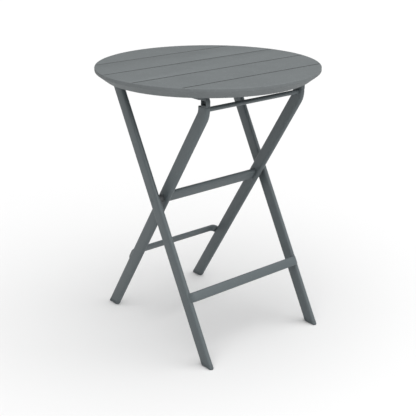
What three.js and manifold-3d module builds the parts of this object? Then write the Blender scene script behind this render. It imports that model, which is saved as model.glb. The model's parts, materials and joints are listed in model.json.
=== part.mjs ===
// Round folding bistro table: two crossed tube frames and a grooved top.
// Millimetres, +Z up, +X to the right, the outer frame's feet towards -Y. The origin is on the
// floor under the centre of the top. The table stands open, which is every joint's zero.
import * as THREE from 'three';
import { mergeVertices } from 'three/addons/utils/BufferGeometryUtils.js';
import Module from 'manifold-3d';

const wasm = await Module();
wasm.setup();

// ---- driving dimensions ----
const GAP = 0.3; // air between neighbours that touch
const ROUND = 3; // an oval's half-round end has twice as many sides

// top
const TOP_RADIUS = 300;
const TOP_HEIGHT = 741;
const PLATE = 7.5; // thickness between the ribs
const RIM_BAND = 9.3; // upright part of the rim
const RIM_DEPTH = 28; // whole rim
const RIM_BOTTOM_RADIUS = 276.3; // the rim slants in below the band
const RIM_WALL = 5;
const PLANK_PITCH = 122.7;
const GROOVE = { width: 4.5, depth: 3.5 };
const RIB = { thick: 3, deep: 12, pitch: 61.35, reachX: 148, pitchX: 74 };

// frames: a leg's centre line is y = footY + slope * z
const OUTER = { x: 194.4, footY: -230.5, slope: 0.5321 };
const INNER = { x: 162.8, footY: 247, slope: -0.6395 };
const LEG = { thick: 14, deep: 37, wall: 1.5 }; // flat-oval tube, thin along X
const FOOT = { height: 12, round: 2.5, stem: 20 };
const OUTER_BEND = { z: 690, radius: 60, angle: 14 };
const INNER_BEND = { z: 654.7, radius: 45, straight: 5 };

// cross bars
const BOW = { wide: 26, thick: 8.5, wall: 1.5, stand: 10.2, bend: 18, angle: 65, inset: 2 }; // front rung, rear bar
const FRONT_RUNG_Z = 165.1; // where the bar's ends meet the legs' centre lines
const REAR_BAR_Z = 173.6;
const UPPER_BAR = { y: -182, z: 676.5, radius: 6, wall: 1.2 };
const CROSSBAR = { y: 145.7, z: 690, radius: 8, wall: 1.5 };

// hinge under the front of the top, rails along Y
const HINGE = { y: -176, z: 716.3 };
const RAIL = { x: 178.3, wide: 16.6, low: 705.5, high: 727.2, front: -186, rear: 176, wall: 1.5 };
const KNUCKLE = { radius: 9.5, wide: 12.6, front: -195.3, rear: -173.3, low: 684.3, chin: 16, nape: 4, stem: 12 };
const POCKET = { deep: 9, front: 2.5, rear: 2, floor: 4, high: 14.5 }; // cored out of the knuckle's outside
const CATCH = { front: 128, rear: 170, lip: 9 };
const SCREW = { radius: 2.4, head: 4.6, headHigh: 2.4 };
const RAIL_SCREWS_Y = [-128, -8, 96];
const CATCH_SCREWS_Y = [133.5, 163];

// scissor pivot
const PIVOT_Z = (INNER.footY - OUTER.footY) / (OUTER.slope - INNER.slope);
const PIVOT_Y = OUTER.footY + OUTER.slope * PIVOT_Z;
const PIN = { shank: 4, head: 5.9, coneHigh: 2.6, clear: 0.2 };
const BUSH_RADIUS = 6;
const SPACER_RADIUS = 9.5;
const ANCHOR_LENGTH = 20;

// ---- finishes ----
const paint = (color, roughness, metalness) =>
  new THREE.MeshStandardMaterial({ color, roughness, metalness });
const FINISH = {
  top: paint(0x6f7576, 0.6, 0),
  frame: paint(0x5a6163, 0.5, 0.1),
  plastic: paint(0x4d5355, 0.6, 0),
  foot: paint(0x474d4f, 0.7, 0),
  steel: paint(0x8b8f90, 0.35, 0.9),
  nylon: paint(0x2c2f30, 0.5, 0),
};

const table = new THREE.Group();
const SIDES = [['left', -1], ['right', 1]];
const add = (name, geometry, material) => {
  const mesh = new THREE.Mesh(geometry, material);
  mesh.name = name;
  table.add(mesh);
};
const addPair = (name, geometryAt, material) => {
  for (const [side, sign] of SIDES) add(`${name}_${side}`, geometryAt(sign), material);
};

// ---- joining and cutting ----
const toSolid = (geometry) => {
  const bare = new THREE.BufferGeometry();
  bare.setAttribute('position', geometry.getAttribute('position').clone());
  if (geometry.index) bare.setIndex(geometry.index.clone());
  const merged = mergeVertices(bare, 1e-3);
  return new wasm.Manifold(new wasm.Mesh({
    numProp: 3,
    vertProperties: new Float32Array(merged.getAttribute('position').array),
    triVerts: new Uint32Array(merged.index.array),
  }));
};
const toGeometry = (solid) => {
  const mesh = solid.getMesh();
  const geometry = new THREE.BufferGeometry();
  geometry.setAttribute('position', new THREE.BufferAttribute(mesh.vertProperties, 3));
  geometry.setIndex(new THREE.BufferAttribute(mesh.triVerts, 1));
  return geometry;
};
const join = (first, ...rest) =>
  toGeometry(rest.reduce((sum, geometry) => sum.add(toSolid(geometry)), toSolid(first)));
const cut = (first, ...rest) =>
  toGeometry(rest.reduce((left, geometry) => left.subtract(toSolid(geometry)), toSolid(first)));
const keep = (first, other) => toGeometry(toSolid(first).intersect(toSolid(other)));

// ---- basic shapes ----
const inOrder = (a, b) => (a < b ? [a, b] : [b, a]);

// A box between two corners.
const block = (low, high) => {
  const size = high.map((value, i) => value - low[i]);
  const centre = high.map((value, i) => (value + low[i]) / 2);
  return new THREE.BoxGeometry(...size).translate(...centre);
};

// A piece turned about +Y: its profile is [radius, place along the axis] and starts and ends on the
// axis, or closes on itself. It is then laid along X or stood along Z.
const turned = (profile, segments = 16) =>
  new THREE.LatheGeometry(profile.map(([r, a]) => new THREE.Vector2(r, a)), segments);
const alongX = (geometry) => geometry.rotateZ(-Math.PI / 2);
const alongZ = (geometry) => geometry.rotateX(Math.PI / 2);

const ring = (inner, outer, from, to) => [[inner, from], [outer, from], [outer, to], [inner, to], [inner, from]];
const disc = (radius, from, to) => [[0, from], [radius, from], [radius, to], [0, to]];
const rodX = (radius, from, to, [y, z]) => alongX(turned(disc(radius, from, to))).translate(0, y, z);
const tubeX = (outer, inner, from, to, [y, z]) =>
  alongX(turned(ring(inner, outer, from, to))).translate(0, y, z);
const rodZ = (radius, from, to, [x, y], segments = 12) =>
  alongZ(turned(disc(radius, from, to), segments)).translate(x, y, 0);

// Flat-oval outline, long along the shape's y, with an even skin taken off.
const ovalOutline = (Outline, thick, deep, skin = 0) => {
  const radius = thick / 2 - skin;
  const straight = (deep - thick) / 2;
  const outline = new Outline();
  outline.moveTo(radius, -straight);
  outline.absarc(0, straight, radius, 0, Math.PI, false);
  outline.absarc(0, -straight, radius, Math.PI, 2 * Math.PI, false);
  return outline;
};
const oval = (thick, deep, wall) => {
  const shape = ovalOutline(THREE.Shape, thick, deep);
  if (wall) shape.holes.push(ovalOutline(THREE.Path, thick, deep, wall));
  return shape;
};

// The same section a quarter turn round, long along the shape's x.
const lying = (shape) => {
  const quarterTurn = (points) => points.map(({ x, y }) => new THREE.Vector2(-y, x));
  const { shape: outline, holes } = shape.extractPoints(ROUND);
  const result = new THREE.Shape(quarterTurn(outline));
  result.holes = holes.map((hole) => new THREE.Path(quarterTurn(hole)));
  return result;
};

// A sweep's path of chosen stations, so that a straight takes one step and a bend takes several.
class Route extends THREE.Curve {
  constructor(stations) {
    super();
    this.stations = stations;
  }

  getSpacedPoints() {
    return this.stations.map((station) => station.at);
  }

  getTangentAt(u) {
    return this.stations[Math.round(u * (this.stations.length - 1))].heading.clone();
  }
}

// A flat route: [length] runs straight on, [radius, degrees] bends to the left of the heading.
const route = (start, headingDegrees, moves, place, bendSteps = 4) => {
  let [u, v] = start;
  let heading = THREE.MathUtils.degToRad(headingDegrees);
  const stations = [];
  const mark = () => stations.push({
    at: place(u, v),
    heading: place(u + Math.cos(heading), v + Math.sin(heading)).sub(place(u, v)).normalize(),
  });
  mark();
  for (const [size, degrees] of moves) {
    const steps = degrees === undefined ? 1 : bendSteps;
    const turn = THREE.MathUtils.degToRad(degrees ?? 0) / steps;
    const advance = degrees === undefined ? size : 2 * size * Math.sin(Math.abs(turn) / 2);
    for (let i = 0; i < steps; i += 1) {
      u += advance * Math.cos(heading + turn / 2);
      v += advance * Math.sin(heading + turn / 2);
      heading += turn;
      mark();
    }
  }
  return new Route(stations);
};

const sweep = (shape, path) => new THREE.ExtrudeGeometry(shape, {
  steps: path.stations.length - 1, extrudePath: path, curveSegments: ROUND, bevelEnabled: false,
});

// ---- legs ----
const BELOW = -30; // legs are drawn from under the floor and then cut level
const leanDegrees = (frame) => THREE.MathUtils.radToDeg(Math.atan(frame.slope));
const lineY = (frame, z) => frame.footY + frame.slope * z;

const legRoute = (frame, sign, bendZ, bends) => {
  const straight = (bendZ - BELOW) * Math.hypot(1, frame.slope);
  const place = (y, z) => new THREE.Vector3(sign * frame.x, y, z);
  return route([lineY(frame, BELOW), BELOW], 90 - leanDegrees(frame), [[straight], ...bends], place);
};
const outerRoute = (sign) =>
  legRoute(OUTER, sign, OUTER_BEND.z, [[OUTER_BEND.radius, -OUTER_BEND.angle]]);
const innerRoute = (sign) =>
  legRoute(INNER, sign, INNER_BEND.z, [[INNER_BEND.radius, leanDegrees(INNER)], [INNER_BEND.straight]]);

const legTube = (path, holeX, holeRadius) => {
  const belowFoot = block([-250, -330, 2 * BELOW], [250, 330, FOOT.height]);
  const hole = rodX(holeRadius, holeX - LEG.thick, holeX + LEG.thick, [PIVOT_Y, PIVOT_Z]);
  return cut(sweep(oval(LEG.thick, LEG.deep, LEG.wall), path), belowFoot, hole);
};
addPair('outer_leg', (sign) => legTube(outerRoute(sign), sign * OUTER.x, BUSH_RADIUS + PIN.clear), FINISH.frame);
addPair('inner_leg', (sign) => legTube(innerRoute(sign), sign * INNER.x, PIN.shank + PIN.clear), FINISH.frame);

// ---- feet and caps ----
// A foot is cut level: an upright oval stretched and slanted to follow the leg, with a stem in the tube.
const foot = (frame, sign) => {
  const stretch = Math.hypot(1, frame.slope);
  const slant = new THREE.Matrix4().set(
    1, 0, 0, sign * frame.x,
    0, stretch, frame.slope, frame.footY,
    0, 0, 1, 0,
    0, 0, 0, 1,
  );
  const padHigh = FOOT.height - GAP;
  const pad = new THREE.ExtrudeGeometry(oval(LEG.thick - 2 * FOOT.round, LEG.deep - 2 * FOOT.round), {
    depth: padHigh, curveSegments: ROUND, bevelThickness: FOOT.round, bevelSize: FOOT.round, bevelSegments: 2,
  }).translate(0, 0, FOOT.round);
  const level = keep(pad, block([-50, -50, 0], [50, 50, padHigh]));
  const skin = LEG.wall + GAP;
  const stem = new THREE.ExtrudeGeometry(oval(LEG.thick - 2 * skin, LEG.deep - 2 * skin), {
    depth: padHigh + FOOT.stem - FOOT.round, curveSegments: ROUND, bevelEnabled: false,
  }).translate(0, 0, FOOT.round);
  return join(level, stem).applyMatrix4(slant);
};
addPair('outer_foot', (sign) => foot(OUTER, sign), FINISH.foot);
addPair('inner_foot', (sign) => foot(INNER, sign), FINISH.foot);

// The outer legs' upper ends are closed by a plug with a thin head.
const CAP = { head: 2.5, stem: 8, slack: 1, railStem: 3 };
const outerCap = (sign) => {
  const end = outerRoute(sign).stations.at(-1);
  const stretchOf = (from, to) => new Route([from, to].map((distance) => (
    { at: end.at.clone().addScaledVector(end.heading, distance), heading: end.heading })));
  const skin = LEG.wall + GAP;
  const head = sweep(oval(LEG.thick, LEG.deep), stretchOf(GAP, CAP.head));
  const stem = sweep(oval(LEG.thick - 2 * skin, LEG.deep - 2 * (skin + CAP.slack)), stretchOf(-CAP.stem, 1));
  return join(head, stem);
};
addPair('outer_cap', outerCap, FINISH.plastic);

// ---- cross bars ----
// A bow-shaped bar on the narrow faces of a frame's legs: its ends bend back and are cut to meet them.
// It is drawn with its ends on a leg's face, and out along +Y, then turned to lie on the frame.
const bowBar = (frame, z, face) => {
  const meeting = LEG.deep / 2 + GAP;
  const sunk = BOW.thick; // how far the ends run on before they are cut
  const bendRadians = THREE.MathUtils.degToRad(BOW.angle);
  const endX = frame.x - BOW.inset;
  const bendReach = BOW.bend * Math.sin(bendRadians);
  const bendRise = BOW.bend * (1 - Math.cos(bendRadians));
  const straightEnd = sunk + (BOW.stand - bendRise) / Math.sin(bendRadians);
  const start = [-endX - sunk * Math.cos(bendRadians), meeting - sunk * Math.sin(bendRadians)];
  const middle = 2 * (endX - bendReach - (straightEnd - sunk) * Math.cos(bendRadians));
  const moves = [[straightEnd], [BOW.bend, -BOW.angle], [middle], [BOW.bend, -BOW.angle], [straightEnd]];
  const path = route(start, BOW.angle, moves, (u, v) => new THREE.Vector3(u, v, 0));
  const tube = sweep(lying(oval(BOW.thick, BOW.wide, BOW.wall)), path);
  const behindMeeting = block([-TOP_RADIUS, -TOP_RADIUS, -BOW.wide], [TOP_RADIUS, meeting, BOW.wide]);
  const lean = Math.atan(frame.slope);
  return cut(tube, behindMeeting).rotateX(face > 0 ? -lean : Math.PI - lean).translate(0, lineY(frame, z), z);
};
add('front_rung', bowBar(OUTER, FRONT_RUNG_Z, -1), FINISH.frame);
add('rear_bar', bowBar(INNER, REAR_BAR_Z, 1), FINISH.frame);

const innerSpan = INNER.x - LEG.thick / 2 - GAP; // half the length of a bar between the inner legs
const outerSpan = OUTER.x - LEG.thick / 2 - GAP;
add('upper_bar', tubeX(UPPER_BAR.radius, UPPER_BAR.radius - UPPER_BAR.wall, -innerSpan, innerSpan,
  [UPPER_BAR.y, UPPER_BAR.z]), FINISH.frame);
add('top_crossbar', tubeX(CROSSBAR.radius, CROSSBAR.radius - CROSSBAR.wall, -outerSpan, outerSpan,
  [CROSSBAR.y, CROSSBAR.z]), FINISH.frame);

// The middle bar has the legs' section and lies in the inner frame's plane, centred on the pivot.
const acrossX = (shape, from, to) => new THREE.ExtrudeGeometry(shape, {
  depth: to - from, curveSegments: ROUND, bevelEnabled: false,
}).translate(0, 0, from).rotateY(Math.PI / 2);
const onPivot = (geometry) =>
  geometry.rotateX(Math.PI / 2 - Math.atan(INNER.slope)).translate(0, PIVOT_Y, PIVOT_Z);
add('mid_bar', onPivot(acrossX(oval(LEG.thick, LEG.deep, LEG.wall), -innerSpan, innerSpan)), FINISH.frame);

// ---- scissor pivot, on both sides ----
const outerLegOutside = OUTER.x + LEG.thick / 2;
const outerLegInside = OUTER.x - LEG.thick / 2;
const innerLegOutside = INNER.x + LEG.thick / 2;

// A piece turned about a line along X, drawn for the right side and turned round for the left.
const aboutX = (profile, y, z, segments) => (sign) => {
  const piece = alongX(turned(profile, segments));
  return (sign > 0 ? piece : piece.rotateZ(Math.PI)).translate(0, y, z);
};

// The bolt's head lies flush in the outer leg, and its tip is screwed into the middle bar's anchor.
const boltOutside = outerLegOutside - GAP;
const boltTip = innerSpan - ANCHOR_LENGTH + 4;
addPair('pivot_bolt', aboutX([[0, boltTip], [PIN.shank, boltTip], [PIN.shank, boltOutside - PIN.coneHigh],
  [PIN.head, boltOutside], [0, boltOutside]], PIVOT_Y, PIVOT_Z), FINISH.frame);

const pivotBore = PIN.shank + PIN.clear;
addPair('pivot_bush', aboutX(
  ring(pivotBore, BUSH_RADIUS, outerLegInside, boltOutside - PIN.coneHigh - 2 * GAP),
  PIVOT_Y, PIVOT_Z), FINISH.nylon);
addPair('pivot_spacer', aboutX(
  ring(pivotBore, SPACER_RADIUS, innerLegOutside + GAP, outerLegInside - GAP),
  PIVOT_Y, PIVOT_Z), FINISH.nylon);

const anchor = (sign) => {
  const skin = LEG.wall + GAP;
  const [from, to] = inOrder(sign * (innerSpan - ANCHOR_LENGTH), sign * innerSpan);
  const plug = onPivot(acrossX(oval(LEG.thick - 2 * skin, LEG.deep - 2 * skin), from, to));
  return cut(plug, rodX(PIN.shank + 0.1, -OUTER.x, OUTER.x, [PIVOT_Y, PIVOT_Z]));
};
addPair('pivot_anchor', anchor, FINISH.steel);

// ---- top hinge, on both sides ----
// A knuckle stands in each inner leg's end, at its front, and leans back to the hinge axis.
const knuckle = (sign) => {
  const { radius, front, rear, low, chin, nape, stem, wide } = KNUCKLE;
  const outline = new THREE.Shape();
  outline.moveTo(front, low);
  outline.lineTo(rear, low);
  outline.lineTo(HINGE.y + radius, HINGE.z - nape);
  outline.lineTo(HINGE.y + radius, HINGE.z);
  outline.absarc(HINGE.y, HINGE.z, radius, 0, Math.PI, false);
  outline.lineTo(front, low + chin);
  outline.closePath();
  const drawnInYZ = new THREE.Matrix4().set(
    0, 0, 1, sign * INNER.x - wide / 2,
    1, 0, 0, 0,
    0, 1, 0, 0,
    0, 0, 0, 1,
  );
  const body = new THREE.ExtrudeGeometry(outline, { depth: wide, curveSegments: ROUND, bevelEnabled: false })
    .applyMatrix4(drawnInYZ);
  const peg = new THREE.ExtrudeGeometry(oval(LEG.thick - 2 * (LEG.wall + GAP), rear - front), {
    depth: stem + 1, curveSegments: ROUND, bevelEnabled: false,
  }).translate(sign * INNER.x, (front + rear) / 2, low - stem);
  const outerFace = sign * (INNER.x + wide / 2);
  const [pocketFrom, pocketTo] = inOrder(outerFace - sign * POCKET.deep, outerFace + sign);
  const pocketLow = low + POCKET.floor;
  const pocket = block([pocketFrom, front + POCKET.front, pocketLow],
    [pocketTo, rear - POCKET.rear, pocketLow + POCKET.high]);
  const bore = rodX(PIN.shank + PIN.clear, -OUTER.x, OUTER.x, [HINGE.y, HINGE.z]);
  return cut(join(body, peg), pocket, bore);
};
addPair('hinge_knuckle', knuckle, FINISH.plastic);

// From the middle outwards along the hinge: bolt head, knuckle, washer, rail wall, nut in the rail.
const HINGE_HEAD = { radius: 6.5, high: 3.6 };
const HINGE_NUT = { radius: 6.6, high: 4 };
const railInside = RAIL.x - RAIL.wide / 2;
const headSeat = INNER.x - KNUCKLE.wide / 2 - GAP;
const nutSeat = railInside + RAIL.wall + GAP;
const hingeTip = nutSeat + HINGE_NUT.high + 1;
addPair('hinge_bolt', aboutX([[0, headSeat - HINGE_HEAD.high], [HINGE_HEAD.radius, headSeat - HINGE_HEAD.high],
  [HINGE_HEAD.radius, headSeat], [PIN.shank, headSeat], [PIN.shank, hingeTip], [0, hingeTip]],
HINGE.y, HINGE.z), FINISH.steel);
addPair('hinge_washer', aboutX(
  ring(PIN.shank + PIN.clear, 7.5, INNER.x + KNUCKLE.wide / 2 + 0.15, railInside - 0.15),
  HINGE.y, HINGE.z), FINISH.nylon);
const hingeNut = (sign) => {
  const hexagon = aboutX(disc(HINGE_NUT.radius, nutSeat, nutSeat + HINGE_NUT.high), HINGE.y, HINGE.z, 6)(sign);
  return cut(hexagon, rodX(PIN.shank + 0.1, -TOP_RADIUS, TOP_RADIUS, [HINGE.y, HINGE.z]));
};
addPair('hinge_nut', hingeNut, FINISH.steel);

// ---- rails ----
const acrossRail = (sign, half = RAIL.wide / 2) => [sign * RAIL.x - half, sign * RAIL.x + half];
const holesAt = (sign, places, radius, low, high) =>
  places.map((y) => rodZ(radius, low, high, [sign * RAIL.x, y]));

const rail = (sign) => {
  const [left, right] = acrossRail(sign);
  const outer = block([left, RAIL.front, RAIL.low], [right, RAIL.rear, RAIL.high]);
  const bore = block([left + RAIL.wall, RAIL.front - 1, RAIL.low + RAIL.wall],
    [right - RAIL.wall, RAIL.rear + 1, RAIL.high - RAIL.wall]);
  const axle = rodX(PIN.shank + 0.1, -RAIL.x, RAIL.x, [HINGE.y, HINGE.z]);
  const through = holesAt(sign, RAIL_SCREWS_Y, SCREW.radius + GAP, RAIL.low - 1, RAIL.high + 1);
  const underside = holesAt(sign, CATCH_SCREWS_Y, SCREW.radius + GAP, RAIL.low - 1, RAIL.low + 5);
  return cut(outer, bore, axle, ...through, ...underside);
};
addPair('rail', rail, FINISH.frame);

const railCap = (end, face) => (sign) => {
  const [left, right] = acrossRail(sign);
  const skin = RAIL.wall + GAP;
  const [headFrom, headTo] = inOrder(end + face * GAP, end + face * CAP.head);
  const [stemFrom, stemTo] = inOrder(end - face * CAP.railStem, end + face);
  return join(
    block([left, headFrom, RAIL.low], [right, headTo, RAIL.high]),
    block([left + skin, stemFrom, RAIL.low + skin], [right - skin, stemTo, RAIL.high - skin]),
  );
};
addPair('rail_cap_front', railCap(RAIL.front, -1), FINISH.plastic);
addPair('rail_cap_rear', railCap(RAIL.rear, 1), FINISH.plastic);

// ---- catches ----
// A catch hangs under each rail: the crossbar lies against its roof and in front of its lip.
const CATCH_ROOF = CROSSBAR.z + CROSSBAR.radius + GAP;
const SINK = SCREW.headHigh + GAP; // screw heads are sunk this deep in the catch
const catchBlock = (sign) => {
  const [left, right] = acrossRail(sign);
  const high = RAIL.low - GAP;
  const roof = block([left, CATCH.front, CATCH_ROOF], [right, CATCH.rear, high]);
  const lip = block([left, CROSSBAR.y + CROSSBAR.radius - 4, CATCH_ROOF - CATCH.lip], [right, CATCH.rear, high]);
  const seat = rodX(CROSSBAR.radius + GAP, -OUTER.x, OUTER.x, [CROSSBAR.y, CROSSBAR.z]);
  const far = CATCH_ROOF - 2 * CATCH.lip;
  const holes = holesAt(sign, CATCH_SCREWS_Y, SCREW.radius + GAP, far, RAIL.low);
  const sinks = holesAt(sign, CATCH_SCREWS_Y, SCREW.head + GAP, far, CATCH_ROOF + SINK);
  return cut(join(roof, lip), seat, ...holes, ...sinks);
};
addPair('catch', catchBlock, FINISH.plastic);

// ---- screws ----
const PLATE_LOW = TOP_HEIGHT - PLATE;
const SCREW_TIP = PLATE_LOW + 3;
// A pan-head screw that points up, with its head's upper face at the seat.
const screw = (x, y, seat, tip) => alongZ(turned([[0, seat - SCREW.headHigh],
  [0.7 * SCREW.head, seat - SCREW.headHigh], [SCREW.head, seat - 0.8], [SCREW.head, seat],
  [SCREW.radius, seat], [SCREW.radius, tip], [0, tip]], 10)).translate(x, y, 0);
for (const [side, sign] of SIDES) {
  RAIL_SCREWS_Y.forEach((y, i) => {
    add(`rail_screw_${side}_${i + 1}`, screw(sign * RAIL.x, y, RAIL.low - GAP, SCREW_TIP), FINISH.steel);
  });
  CATCH_SCREWS_Y.forEach((y, i) => {
    add(`catch_screw_${side}_${i + 1}`, screw(sign * RAIL.x, y, CATCH_ROOF + SINK - 0.1, RAIL.low + 4), FINISH.steel);
  });
}

// ---- top ----
const rimmedDisc = () => {
  const rimLow = TOP_HEIGHT - RIM_DEPTH;
  const bandLow = TOP_HEIGHT - RIM_BAND;
  const wallLow = RIM_BOTTOM_RADIUS - RIM_WALL;
  const wallHigh = TOP_RADIUS - 2.4 * RIM_WALL;
  return alongZ(turned([[0, PLATE_LOW], [wallHigh, PLATE_LOW], [wallLow, rimLow + 1], [wallLow + 1, rimLow],
    [RIM_BOTTOM_RADIUS - 0.8, rimLow], [RIM_BOTTOM_RADIUS, rimLow + 0.6], [TOP_RADIUS - 0.6, bandLow - 0.6],
    [TOP_RADIUS, bandLow + 0.6], [TOP_RADIUS, TOP_HEIGHT - 1.5], [TOP_RADIUS - 0.5, TOP_HEIGHT - 0.5],
    [TOP_RADIUS - 1.5, TOP_HEIGHT], [0, TOP_HEIGHT]], 96));
};

const ribs = () => {
  const low = PLATE_LOW - RIB.deep;
  const half = RIB.thick / 2;
  const bars = [];
  for (let n = -4; n <= 4; n += 1) {
    const y = n * RIB.pitch;
    bars.push(block([-RIB.reachX, y - half, low], [RIB.reachX, y + half, PLATE_LOW + 1]));
  }
  for (let n = -2; n <= 2; n += 1) {
    const x = n * RIB.pitchX;
    bars.push(block([x - half, -TOP_RADIUS, low], [x + half, TOP_RADIUS, PLATE_LOW + 1]));
  }
  return keep(join(...bars), rodZ(RIM_BOTTOM_RADIUS - 1, low - 1, PLATE_LOW + 2, [0, 0], 96));
};

const mountingStrip = (sign) => {
  const [left, right] = acrossRail(sign);
  return block([left, RAIL.front, RAIL.high + GAP], [right, RAIL.rear, PLATE_LOW + 1]);
};

const topPanel = () => {
  const moulding = join(rimmedDisc(), ribs(), mountingStrip(-1), mountingStrip(1));
  const grooves = [-1.5, -0.5, 0.5, 1.5].map((n) => {
    const y = n * PLANK_PITCH;
    return block([-TOP_RADIUS - 1, y - GROOVE.width / 2, TOP_HEIGHT - GROOVE.depth],
      [TOP_RADIUS + 1, y + GROOVE.width / 2, TOP_HEIGHT + 1]);
  });
  const holes = [-1, 1].flatMap((sign) =>
    holesAt(sign, RAIL_SCREWS_Y, SCREW.radius + 0.1, RAIL.high, SCREW_TIP + 0.5));
  return cut(moulding, ...grooves, ...holes);
};
add('top_panel', topPanel(), FINISH.top);

export default table;
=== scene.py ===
"""Round folding bistro table, laid out as a Blender add-on and run as a script.

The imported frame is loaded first. Every piece of the table is then modelled in metres around it, in
the same frame: +Z up, +X to the right, the outer frame's feet towards -Y, the floor at Z = 0.
"""

import json
import math

import bmesh
import bpy
from bpy.props import FloatProperty, FloatVectorProperty, IntProperty, PointerProperty
from bpy.types import Operator, Panel, PropertyGroup
from mathutils import Matrix, Vector


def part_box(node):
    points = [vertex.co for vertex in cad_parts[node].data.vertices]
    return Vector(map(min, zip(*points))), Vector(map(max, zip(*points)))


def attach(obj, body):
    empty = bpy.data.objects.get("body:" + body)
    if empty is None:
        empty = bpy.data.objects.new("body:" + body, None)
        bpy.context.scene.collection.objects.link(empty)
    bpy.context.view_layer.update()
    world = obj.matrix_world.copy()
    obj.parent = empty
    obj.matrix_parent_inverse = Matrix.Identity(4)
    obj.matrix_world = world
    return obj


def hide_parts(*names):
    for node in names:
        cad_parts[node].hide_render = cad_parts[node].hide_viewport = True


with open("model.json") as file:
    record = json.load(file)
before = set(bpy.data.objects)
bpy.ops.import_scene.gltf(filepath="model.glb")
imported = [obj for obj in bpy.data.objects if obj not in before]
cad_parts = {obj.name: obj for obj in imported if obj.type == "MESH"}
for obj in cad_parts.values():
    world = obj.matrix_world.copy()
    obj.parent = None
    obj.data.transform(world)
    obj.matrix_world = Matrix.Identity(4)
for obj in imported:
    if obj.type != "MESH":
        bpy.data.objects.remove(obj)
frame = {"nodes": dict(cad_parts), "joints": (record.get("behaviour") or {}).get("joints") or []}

bl_info = {
    "name": "Folding Bistro Table",
    "version": (1, 0, 0),
    "blender": (4, 5, 0),
    "location": "3D View > Sidebar > Table",
    "description": "Models a round folding bistro table piece by piece around its frame",
    "category": "Object",
}

# ---- places taken from the frame ----
MM = 0.001
GAP = 0.3 * MM
LARGEST_MISFIT = 1 * MM
TOUCHING = 1e-6
# Radii of the bores, radii along softened edges, and the walls of the straight tubes.
BORES = {"bush": 6.2 * MM, "bolt": 4.2 * MM, "rail": 4.1 * MM}
ROUNDS = {"cap": 0.9 * MM, "ring": 0.4 * MM, "knuckle": 0.8 * MM, "pocket": 1.2 * MM, "bolt": 0.7 * MM,
          "rail": 1.6 * MM, "catch": 0.7 * MM, "groove": 1.1 * MM}
BAR_WALLS = {"upper_bar": 1.2 * MM, "top_crossbar": 1.5 * MM}
RAIL_WALL = 1.5 * MM
# Where the grooves' painted shade starts and stops fading, past their sides, mouths and ends.
PAINTED_SHADE_FADES = {"side": (0.3 * MM, 0.7 * MM), "mouth": (-0.35 * MM, -0.1 * MM), "end": (-0.5 * MM, 0.2 * MM)}
# How dark the painted shade in the top's grooves is, as a share of the top's colour.
GROOVE_PAINTED_SHADE = 0.2
# How high the rings of a screw's head lie above its crown in millimetres, and their share of its radius.
PAN_PROFILE = ((0.25, 0.75), (0.6, 0.9), (1.1, 0.98), (1.7, 1))
X_AXIS, Y_AXIS, Z_AXIS = Vector((1, 0, 0)), Vector((0, 1, 0)), Vector((0, 0, 1))
SIDES = (("left", -1), ("right", 1))
JOINT_PLACES = {joint["name"]: Vector(joint["pos_m"]) for joint in frame["joints"]}
PIVOT = JOINT_PLACES["leg_fold"]
HINGE = JOINT_PLACES["top_tilt"]


class Room:
    """The space that a CAD node takes, read once."""

    def __init__(self, node):
        self.low, self.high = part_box(node)
        self.size = self.high - self.low
        self.centre = (self.low + self.high) / 2


TOP = Room("top_panel")
OUTER_LEG = Room("outer_leg_right")
INNER_LEG = Room("inner_leg_right")
UPPER_BAR = Room("upper_bar")
CROSSBAR = Room("top_crossbar")
MID_BAR = Room("mid_bar")
KNUCKLE = Room("hinge_knuckle_right")


# ---- sizes and colours a user would change ----
def length(name, description, value):
    return FloatProperty(name=name, description=description, default=value, subtype="DISTANCE", unit="LENGTH")


def degrees(name, description, value):
    return FloatProperty(name=name, description=description, default=math.radians(value),
                         subtype="ANGLE", unit="ROTATION")


def colour(name, description, value):
    return FloatVectorProperty(name=name, description=description, default=value, subtype="COLOR",
                               size=3, min=0, max=1)


class TopSizes(PropertyGroup):
    segments: IntProperty(name="Segments", description="Sides of the round edge", default=192)
    plate: length("Plate", "Thickness between the ribs", 7.5 * MM)
    band: length("Band", "Height of the rim's upright part", 9.3 * MM)
    edge_round: length("Edge round", "Radius along the upper edge", 1.6 * MM)
    bottom_radius: length("Bottom radius", "Radius of the rim's lower edge", 276.3 * MM)
    rim_wall: length("Rim wall", "Thickness of the rim", 5 * MM)
    plank_pitch: length("Plank pitch", "From groove to groove", 122.7 * MM)
    groove_width: length("Groove width", "Width of a groove at its mouth", 4.5 * MM)
    groove_depth: length("Groove depth", "Depth of a groove", 4 * MM)
    groove_lip: length("Groove lip", "What the rim keeps at a groove's end", 1.4 * MM)
    rib_thick: length("Rib thickness", "Thickness of the ribs", 3 * MM)
    rib_deep: length("Rib depth", "Depth of the ribs below the plate", 12 * MM)
    rib_pitch: length("Rib pitch", "From rib to rib along Y", 61.35 * MM)
    rib_pitch_x: length("Cross rib pitch", "From rib to rib along X", 74 * MM)
    rib_reach: length("Rib reach", "Half the length of the ribs along X", 148 * MM)


class FastenerSizes(PropertyGroup):
    shank: length("Screw shank", "Radius of the screws' shanks", 2.4 * MM)
    head_high: length("Screw head", "Height of the screws' heads", 2.4 * MM)
    tip: length("Screw tip", "Length of the screws' points", 1.5 * MM)
    clearance: length("Clearance", "Room round a shank in its hole", 0.3 * MM)
    seat: length("Screw seat", "Radius of the sunk seats in the catches", 4.9 * MM)
    bolt_shank: length("Bolt shank", "Radius of the hinge and pivot bolts' shanks", 4 * MM)
    bolt_head_high: length("Bolt head", "Height of the hinge bolts' heads", 3.6 * MM)
    cone_high: length("Cone", "Height of the pivot bolts' sunk heads", 2.6 * MM)
    socket: length("Socket", "Radius of the hinge bolts' six-sided sockets", 3 * MM)
    socket_deep: length("Socket depth", "Depth of the sockets", 2.2 * MM)


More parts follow.
